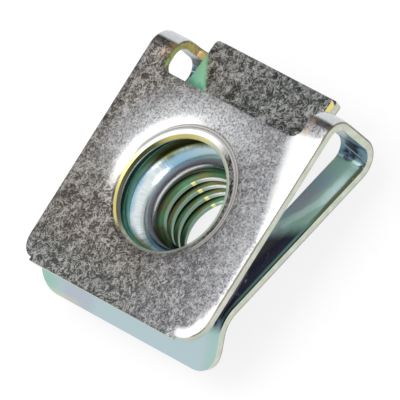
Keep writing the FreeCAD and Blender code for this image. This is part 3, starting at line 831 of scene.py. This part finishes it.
def scratched_face(colours, sizes, fold):
    """The outer face: dull plating under a felt of fine pale scratches, with painted highlights at its
    edges and round its hole, painted sheen above the hole, and painted reflections round the bend.
    """
    paint = Paint("scratched_face", colours.worn)
    spot = paint.blank()
    across, along, deep = paint.parts(spot)
    # Millimetres in from the right side, above the lower edge, past the start of the bend
    inset = HALF_SHEET / MM - across
    above = along + sizes.leaf_reach / MM
    past = along - fold.front_start / MM
    off_x = across - sizes.hole_side / MM
    off_y = along - sizes.hole_up / MM
    reach = (off_x * off_x + off_y * off_y) ** 0.5
    lit = toward(LIT, off_x, off_y, reach)
    upper = toward(UPPER, off_x, off_y, reach)
    left = toward(LEFT, off_x, off_y, reach)
    cloud = paint.noise(spot, 0.35, 3.0)
    patch, fleck = grain(paint, spot)
    tone = paint.layers(colours.worn, (0.7 * paint.span(above + cloud, 4.24, 1.74), colours.slate),
                        (paint.span(across + 3.0 * cloud, 1.0, 7.0), colours.steel))
    dull = dulled(paint, colours, tone, 0.3 * paint.span(patch, 0.6, 0.35), fleck)
    # Painted sheen of the lamps: paler above the hole and towards the right side
    ring = sizes.ring / MM
    glow = paint.span(reach, ring + 4.7, ring + 0.5) * paint.span(upper, 0.0, 0.9)
    right = paint.span(across + 0.15 * along + 2.0 * cloud, 5.5, 11.0)
    pale = glow.most(0.55 * right) * paint.span(past, 1.7, -0.3)
    light = paint.blend(fleck, colours.steel, colours.pale)
    base = paint.layers(dull, (0.8 * pale, light),
                        (0.62 * scratches(paint, patch, 0.55), colours.scratch))
    # Painted highlights in bright white: a crescent on the hole's lit side, a band on the right, a bow
    # round the corner
    fade = paint.span(reach, ring + 1.7, ring)
    crescent = 0.95 * fade * fade * paint.span(reach, ring - 0.2, ring) * paint.span(lit, 0.5, 0.95)
    band_width = (0.33 * (along + 1.0).most(0.0) + 0.4 * (4.24 - above).most(0.0)
                  - 0.6 * (patch - 0.5) - 0.15)
    band = paint.span(band_width - inset, -0.7, 0.6) * paint.span(past, -0.3, -1.1)
    corner = sizes.right_corner / MM
    corner_x = corner - inset
    corner_y = above - corner
    bow = (corner_x * corner_x + corner_y * corner_y) ** 0.5
    bow = paint.span(bow, 0.9, 1.5) * paint.span(inset, 2.6, 2.0) * paint.span(above, 2.94, 1.94)
    highlit = band.most(bow)
    brown_line = paint.span(deep, -0.07, -0.10) * paint.span(inset, 1.0, 0.6)
    # Painted reflections round the bend, on the two legs: a dark band, a pale highlight along the crest,
    # an orange glint by the window
    leg_side = (HALF_SHEET - sizes.leg) / MM
    legs = paint.span(abs(across), leg_side - 0.3, leg_side)
    crest = paint.near(past, 2.1, 0.9, 0.35) * legs
    dark_reflection = paint.near(past, 0.75, 0.25, 0.3) * legs
    orange_glint = (paint.near(past, 0.0, 0.5, 0.6) * paint.near(abs(across), leg_side + 0.2, 0.35, 0.4)
             * paint.span(patch, 0.38, 0.6))
    # Rings and lip of the hole, by their depth
    inner = paint.span(reach, ring + 0.3, ring + 0.15)
    ringed = inner * paint.span(toward(RINGED, off_x, off_y, reach), -0.35, -0.1)
    rings = ringed * paint.span(deep, -0.15, -0.17)
    rimmed = inner * paint.span(toward(LOWER, off_x, off_y, reach), 0.9, 0.72)
    rim = rimmed * paint.span(deep, -0.30, -0.33)
    lip = rimmed.most(0.5) * inner * paint.span(deep, -0.50, -0.53)
    ticks = paint.span(paint.noise(spot, 4.0, 2.0), 0.4, 0.6)
    # The rim's tone, with a painted highlight on its lit side
    rim_tone = paint.layers(paint.blend(0.4 * ticks, colours.dark, colours.scratch),
                            (paint.span(lit, 0.0, 0.45), colours.burnish_and_highlight),
                            (paint.span(left, 0.7, 0.95), colours.yellow))
    lip_tone = paint.layers(colours.edge, (paint.span(lit, 0.5, 0.9), colours.olive),
                            (0.6 * paint.span(upper, 0.8, 0.97), colours.yellow),
                            (0.8 * paint.span(left, 0.6, 0.9), colours.dark))
    colour = paint.layers(
        base, (crescent, colours.burnish_and_highlight), (highlit, colours.burnish_and_highlight),
        (0.75 * dark_reflection, colours.dark), (0.75 * crest, colours.pale),
        (0.4 * orange_glint, colours.orange), (0.8 * brown_line, colours.rust),
        (0.7 * rings, colours.scratch), (0.6 * ringed * paint.near(deep, -0.16, 0.01, 0.02), colours.rust),
        (0.5 * ringed * paint.near(deep, -0.25, 0.01, 0.02), colours.rust),
        (rim, rim_tone), (lip, lip_tone))
    gloss = highlit.most(crescent).most(crest)
    normal = paint.bump(fleck, GRAIN, 0.3)
    return paint.finish(Base_Color=colour, Metallic=1.0, Roughness=0.42 - 0.17 * gloss, Normal=normal)


def smooth_face(colours, fold):
    """The inner face: bright plating with the colours of a thin clear film, and on the strips a painted
    highlight, a painted glint line and painted shade.
    """
    paint = Paint("smooth_face", colours.teal)
    spot = paint.blank()
    across, along, _ = paint.parts(spot)
    # Millimetres in from the nearer side, and past the two bends and the throat's start
    inset = HALF_SHEET / MM - abs(across)
    spine = along - fold.front_end / MM
    down = along - fold.rear_end / MM
    throat = along - fold.throat_start / MM
    cloud = paint.noise(spot, 0.6, 3.0)
    wave = cloud - 0.5
    hair = paint.hairs(0.9, 2.5, 0.6, keep=0.6, seed=7.0)
    leaf = paint.layers(colours.pale, (0.3 * paint.span(cloud, 0.4, 0.6), colours.sky))
    strip = paint.layers(
        colours.blue,
        (paint.span(down + 3.0 * wave, 1.96, 0.36), colours.teal),
        (paint.span(inset - wave, 1.7, 1.2), colours.teal),
        (0.7 * paint.near(down + wave, 4.36, 0.8, 1.2) * paint.span(inset, 1.4, 2.0), colours.violet),
        (0.4, colours.cyan))
    # A painted highlight: a bright streak that slants inwards; an olive border; and painted shade over the
    # dark lower half
    streak_at = 0.85 + 0.42 * (down - 3.76).most(0.0)
    streak = paint.near(inset - 0.7 * wave, streak_at, 0.2, 0.4) * paint.span(down, 0.36, 1.86, 0.35, 1.0)
    border = paint.span(inset + 0.3 * wave, 0.55, 0.3)
    shadow = paint.span(down - 0.7 * inset + 1.5 * wave, 5.66, 7.46)
    border_line = paint.near(inset, 0.28, 0.06, 0.12) * paint.span(down, 4.36, 6.36)
    # A painted glint: a thin violet line slanting across the shaded lower half
    glint_line = (paint.near(inset + 0.25 * (down - 14.66), 1.03, 0.08, 0.15)
                   * paint.span(down, 11.36, 13.36))
    strip = paint.layers(strip, (streak, colours.cyan), (0.9 * border, colours.olive),
                         (shadow, colours.navy), (0.6 * border_line, colours.teal),
                         (0.7 * glint_line, colours.violet))
    # Inside the rear bend
    slanted_line = paint.near(down + 0.35 * (inset - 1.3), -1.9, 0.03, 0.12)
    lower_line = paint.near(down, -0.79, 0.15, 0.15) * paint.span(cloud, 0.5, 0.6)
    curl = paint.layers(colours.navy, (paint.span(cloud, 0.45, 0.6), colours.blue),
                        (slanted_line, colours.sky),
                        (paint.span(down + 0.6 * wave, -4.74, -6.04), colours.sky),
                        (lower_line, colours.cyan))
    strip = paint.blend(paint.span(down + 0.5 * wave, -0.74, -0.34), curl, strip)
    yellow_edge = paint.span(throat + wave, 4.93, 5.63) * paint.span(across, -4.0, -7.0)
    lip = paint.layers(colours.sky, (0.3 * paint.near(across, -5.5, 1.0, 1.5), colours.violet),
                       (0.6 * paint.span(across + 2.0 * wave, -7.0, -9.2), colours.teal),
                       (0.35 * yellow_edge, colours.yellow),
                       (0.35 * paint.span(across, 8.4, 9.4), colours.teal))
    on_strip = paint.span(spine, -0.28, 0.12)
    on_lip = paint.span(throat + 0.4 * wave, 1.13, 1.73)
    colour = paint.layers(leaf, (on_strip, paint.blend(on_lip, strip, lip)), (0.5 * hair, colours.scratch))
    normal = paint.bump(paint.noise(spot, 3.0, 3.0), GRAIN, 0.25)
    # The strips are partly not metal, so that the lamps light them
    metal = 1.0 - 0.7 * on_strip * paint.span(throat, 0.83, -1.17)
    return paint.finish(Base_Color=colour, Metallic=metal, Roughness=0.24 + 0.12 * cloud, Normal=normal)


def cut_edge(colours, sizes, fold):
    """The sheared edges: pale greenish plating with a brown line, mottled yellow in the window."""
    paint = Paint("cut_edge", colours.edge)
    spot = paint.blank()
    across, along, deep = paint.parts(spot)
    past = along - fold.front_start / MM
    from_leg = across + (HALF_SHEET - sizes.leg) / MM
    tone = paint.noise(spot, 1.2, 3.0)
    window = paint.near(past, 2.2, 3.2, 0.6) * paint.near(from_leg, 0.1, 0.5, 0.2)
    mottle = paint.layers(colours.olive, (paint.span(tone, 0.36, 0.5), colours.yellow),
                          (paint.span(tone, 0.52, 0.6), colours.orange))
    colour = paint.layers(colours.edge, (0.3 * paint.span(tone, 0.4, 0.7), colours.burnish_and_highlight),
                          (0.75 * window, mottle),
                          (0.5 * paint.near(deep, -0.18, 0.02, 0.06), colours.rust))
    normal = paint.bump(paint.noise(spot, 9.0, 2.0), GRAIN, 0.3)
    return paint.finish(Base_Color=colour, Metallic=1.0, Roughness=0.4, Normal=normal)


def plate_edge(colours, sizes):
    """The loose plate's cut edges: yellow outside, violet at the top, green and olive in its hole."""
    paint = Paint("plate_edge", colours.yellow)
    x, y, _ = paint.parts(paint.place())
    hole = sizes.hole / MM
    inside = paint.span((x * x + y * y) ** 0.5, hole + 0.34, hole + 0.14)
    upper = paint.span(0.5 * y - 0.3 * x, 0.5, 2.5)
    top = paint.span(PLATE_HIGH.y / MM - y, 0.15, -0.05)
    colour = paint.layers(colours.yellow, (0.8 * top, colours.violet),
                          (inside, paint.blend(upper, colours.teal, colours.olive)))
    return paint.finish(Base_Color=colour, Metallic=1.0, Roughness=0.35)


def drawn_face(colours, barrel):
    """The drawn barrel: film colours in rings, with drawing marks down the mouth, painted glare and
    glints, painted highlights on the thread's crests, and painted shade in its grooves and on its flat
    top.
    """
    paint = Paint("drawn_face", colours.green)
    spot = paint.place()
    x, y, z = paint.parts(spot)
    # Millimetres from the axis, and below the tongue's outer face
    reach = (x * x + y * y) ** 0.5
    down = PLATE_LOW.z / MM - z
    angle = y.bearing(x)
    fine = paint.node("ShaderNodeCombineXYZ", {}, {0: 14.0 * angle, 1: 0.5 * z})
    marks = paint.noise(fine, 2.2, 3.0, 0.6)
    wave = paint.noise(spot, 0.5, 2.0) - 0.5
    left = toward(MOUTH_LEFT, x, y, reach)
    top = toward(MOUTH_TOP, x, y, reach)
    level = down - 0.35 * wave - 0.25 * (marks - 0.5)
    glare = paint.near(level, 0.6, 0.32, 0.25) * paint.span(left + 0.4 * (marks - 0.5), 0.6, 0.86)
    mouth = paint.layers(
        colours.blue, (paint.span(top, 0.3, 0.9), colours.sky),
        (paint.span(level, 0.45, 0.15) * paint.span(left, 0.98, 0.7), colours.olive),
        (glare, paint.blend(marks, colours.sky, colours.burnish_and_highlight)),
        (0.9 * paint.span(level, 0.95, 1.2), paint.blend(0.35, colours.violet, colours.pale)),
        (0.5 * paint.near(level, 1.48, 0.06, 0.08), colours.navy),
        (0.9 * paint.near(level, 1.72, 0.1, 0.08), colours.burnish_and_highlight))
    crest = barrel.crest / MM
    on_crest = paint.span(reach, crest + 0.12, crest + 0.02)
    in_groove = paint.span(reach, crest + 0.3, crest + 0.5)
    # Painted highlights on the thread's crests, white towards the top
    dim_crest = paint.blend(0.35, colours.green, colours.scratch)
    crest_tone = paint.blend(paint.span(top, 0.2, 0.95), dim_crest, colours.burnish_and_highlight)
    # Painted glints of a lamp: yellow spots on the crests, one a turn
    painted_glint = on_crest * paint.span(toward(GLINT_WAY, x, y, reach), 0.998, 0.9992)
    # Black in the grooves is painted shade
    bore = paint.layers(colours.olive, (0.5 * paint.span(wave, -0.15, 0.15), colours.green),
                        (0.75 * in_groove, colours.black), (0.85 * on_crest, crest_tone),
                        (painted_glint, colours.yellow), (0.8 * paint.span(z, 0.5, 0.1), colours.teal))
    inside = paint.blend(paint.span(down, 1.8, 2.0), mouth, bore)
    outside = paint.layers(colours.teal, (paint.span(wave, -0.1, 0.1), colours.sky),
                           (0.5 * paint.span(z, 4.0, 1.0), colours.edge))
    # The mouth widens upwards, so what counts as inside widens with it
    flange = barrel.flange / MM
    within = (paint.span(reach, flange + 0.25, flange + 0.05)
              * paint.span(reach - 0.7 * (2.7 - down).most(0.0), 4.25, 4.15))
    # The flat top, under the loose plate, is painted navy shade
    flat_top = paint.span(down, 0.1, 0.01)
    colour = paint.blend(within.most(flat_top), outside, paint.blend(flat_top, inside, colours.navy))
    normal = paint.bump(marks, 3.0 * GRAIN, 0.3)
    metal = 1.0 - 0.5 * paint.near(down, 1.25, 0.25, 0.2)
    return paint.finish(Base_Color=colour, Metallic=metal, Roughness=0.22, Normal=normal)


def plate_face(colours):
    """The loose plate's outer face: dark scratched plating, with a painted green reflection of the leg
    where the leaf covers it, and painted shade round its hole.
    """
    paint = Paint("plate_face", colours.worn)
    spot = paint.blank()
    x, y, _ = paint.parts(spot)
    cloud = paint.noise(spot, 0.45, 3.0)
    patch, fleck = grain(paint, spot)
    tone = paint.blend(paint.span(x + 4.0 * cloud, -4.0, 2.0), colours.worn, colours.slate)
    base = dulled(paint, colours, tone, 0.75 * paint.span(patch, 0.62, 0.35), fleck)
    base = paint.blend(0.7 * scratches(paint, patch, 0.45), base, colours.scratch)
    skew = 0.833 * x + 0.553 * y + 0.6 * (cloud - 0.5)
    # A painted reflection of the leg's inner face, green and teal
    leg_reflection = paint.span(skew, 1.0, 0.5) * paint.span(y + cloud, 6.0, 6.8)
    film = paint.blend(paint.span(y + 2.0 * (patch - 0.5), 7.4, 9.0), colours.green, colours.teal)
    shaded = paint.span((x * x + y * y) ** 0.5, 7.2, 6.4)
    shade_tone = paint.blend(0.5, colours.green, colours.navy)
    colour = paint.layers(base, (leg_reflection, film), (0.9 * shaded, shade_tone))
    normal = paint.bump(fleck, GRAIN, 0.3)
    return paint.finish(Base_Color=colour, Metallic=1.0, Roughness=0.4, Normal=normal)


class CLIP_OT_folded_sheet(bpy.types.Operator):
    """Builds the folded sheet, with the drawn and tapped barrel in its tongue."""

    bl_idname = "clip.folded_sheet"
    bl_label = "Folded sheet"
    bl_options = {"REGISTER", "UNDO"}

    def execute(self, context):
        sizes = context.scene.clip_sizes
        barrel = context.scene.barrel_sizes
        fold = Fold(sizes)
        colours = context.scene.clip_colours
        sheet = flat_blank(sizes, barrel, fold)
        sort_faces(sheet, scratched_face(colours, sizes, fold), smooth_face(colours, fold),
                   cut_edge(colours, sizes, fold))
        keep_flat_places(sheet)
        fold_blank(sheet, sizes, fold)
        piece = drawn_barrel(sizes, barrel)
        piece.data.materials.append(drawn_face(colours, barrel))
        weld(sheet, piece, (0.0, 0.0), barrel.flange, PLATE_LOW.z, sizes.sheet)
        smooth(sheet)
        sheet.name = "folded_clip"
        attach(sheet, "root")
        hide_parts("spring_clip")
        return {"FINISHED"}


class CLIP_OT_loose_plate(bpy.types.Operator):
    """Builds the loose plate that lies on the tongue."""

    bl_idname = "clip.loose_plate"
    bl_label = "Loose plate"
    bl_options = {"REGISTER", "UNDO"}

    def execute(self, context):
        sizes = context.scene.plate_sizes
        sheet = context.scene.clip_sizes.sheet
        centre_z = (PLATE_LOW.z + PLATE_HIGH.z) / 2.0
        plate = box_between("loose_plate", PLATE_LOW, PLATE_HIGH)
        edit(plate)
        roll(plate, is_upright, sizes.corner, steps=4)
        done()
        around = context.scene.barrel_sizes.around
        carve(plate, disc("hole", sizes.hole, (0.0, 0.0, centre_z), 2.0 * sheet, around))
        edit(plate)
        roll(plate, lambda edge: is_rim(edge, PLATE_HIGH.z), sizes.roll, steps=3)
        roll(plate, is_sharp, context.scene.clip_sizes.burr, steps=2)
        done()
        keep_flat_places(plate)
        colours = context.scene.clip_colours
        fold = Fold(context.scene.clip_sizes)
        sort_faces(plate, plate_face(colours), smooth_face(colours, fold), plate_edge(colours, sizes))
        smooth(plate)
        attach(plate, "root")
        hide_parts("backing_plate")
        return {"FINISHED"}


class CLIP_OT_stage(bpy.types.Operator):
    """Sets up the floor, the soft light and the camera."""

    bl_idname = "clip.stage"
    bl_label = "Stage"
    bl_options = {"REGISTER", "UNDO"}

    def execute(self, context):
        scene = context.scene
        scene.view_settings.view_transform = "Standard"
        add_camera(scene)
        add_floor()
        add_light(scene)
        return {"FINISHED"}


def add_camera(scene):
    """A long lens at the photograph's angle."""
    lens = bpy.data.cameras.new("view")
    lens.lens = FOCAL_LENGTH
    lens.sensor_width = 36.0
    lens.clip_end = 10.0
    camera = bpy.data.objects.new("view", lens)
    scene.collection.objects.link(camera)
    aim = Fold(scene.clip_sizes).origin + (AIM_RIGHT * VIEW_RIGHT + AIM_UP * VIEW_UP) * MM
    right = VIEW_RIGHT.normalized()
    back = VIEW_BACK.normalized()
    up = back.cross(right).normalized()
    spot = aim + back * CAMERA_AWAY
    camera.matrix_world = Matrix((
        (right.x, up.x, back.x, spot.x), (right.y, up.y, back.y, spot.y),
        (right.z, up.z, back.z, spot.z), (0.0, 0.0, 0.0, 1.0)))
    scene.camera = camera


def add_floor():
    """A plain white floor that keeps the shadow, lit from within where it is seen or mirrored."""
    deselect()
    bpy.ops.mesh.primitive_plane_add(size=1.2)
    floor = bpy.context.object
    floor.name = "floor"
    paint = Paint("floor", (1.0, 1.0, 1.0))
    matt = paint.node("ShaderNodeBsdfDiffuse", {}, {"Color": (0.9, 0.9, 0.9)})
    glow = paint.node("ShaderNodeEmission", {}, {"Color": (1.0, 1.0, 1.0), "Strength": 1.13})
    seen = paint.node("ShaderNodeLightPath", output="Is Camera Ray")
    mirrored = paint.node("ShaderNodeLightPath", output="Is Glossy Ray")
    share = 0.7 * seen.most(mirrored)
    paint.close(paint.node("ShaderNodeMixShader", {}, {0: share, 1: matt, 2: glow}))
    floor.data.materials.append(paint.owner)


def lamp(name, towards, side, distance, radiance):
    """A square soft light that faces the part, with the brightness that a mirror would show."""
    light = bpy.data.lights.new(name, "AREA")
    light.shape = "SQUARE"
    light.size = side
    light.energy = radiance * math.pi * side * side
    soft_box = bpy.data.objects.new(name, light)
    bpy.context.scene.collection.objects.link(soft_box)
    way = Vector(towards).normalized()
    soft_box.location = way * distance
    soft_box.rotation_euler = way.to_track_quat("Z", "Y").to_euler()


def add_light(scene):
    """A world that mirrors white but lights less, and two soft boxes."""
    scene.world = bpy.data.worlds.new("studio")
    sky = Paint("studio", None, scene.world)
    seen = sky.node("ShaderNodeLightPath", output="Is Camera Ray")
    for ray in ("Is Glossy Ray", "Is Transmission Ray"):
        seen = seen.most(sky.node("ShaderNodeLightPath", output=ray))
    lit = 0.55
    strength = lit + (1.0 - lit) * seen
    glow = sky.node("ShaderNodeBackground", {}, {"Color": (1.0, 1.0, 1.0), "Strength": strength})
    sky.close(glow, "ShaderNodeOutputWorld")
    lamp("overhead", (-0.1, -0.15, 1.0), side=0.27, distance=0.4, radiance=2.2)
    lamp("right", (1.0, -0.1, 0.35), side=0.25, distance=0.5, radiance=3.2)


class CLIP_PT_panel(bpy.types.Panel):
    """Lists the clip's pieces, and the sizes and colours that can be changed."""

    bl_idname = "CLIP_PT_panel"
    bl_label = "Clip nut"
    bl_space_type = "VIEW_3D"
    bl_region_type = "UI"
    bl_category = "Clip nut"

    def draw(self, context):
        column = self.layout.column()
        for operator in OPERATORS:
            column.operator(operator.bl_idname)
        for group in GROUPS:
            values = getattr(context.scene, group)
            for name in values.__annotations__:
                column.prop(values, name)


GROUPS = {"clip_sizes": ClipSizes, "barrel_sizes": BarrelSizes, "plate_sizes": PlateSizes,
          "clip_colours": ClipColours}
OPERATORS = (CLIP_OT_folded_sheet, CLIP_OT_loose_plate, CLIP_OT_stage)
CLASSES = (*GROUPS.values(), *OPERATORS, CLIP_PT_panel)


def register():
    """Make the sizes, the operators and the panel known to Blender."""
    for item in CLASSES:
        bpy.utils.register_class(item)
    for name, group in GROUPS.items():
        setattr(bpy.types.Scene, name, bpy.props.PointerProperty(type=group))


def unregister():
    """Take the sizes, the operators and the panel away again."""
    for name in GROUPS:
        delattr(bpy.types.Scene, name)
    for item in reversed(CLASSES):
        bpy.utils.unregister_class(item)


def main():
    """Build every piece in order and keep the two boxes."""
    register()
    bpy.ops.clip.folded_sheet()
    bpy.ops.clip.loose_plate()
    bpy.ops.clip.stage()


if __name__ == "__main__":
    main()
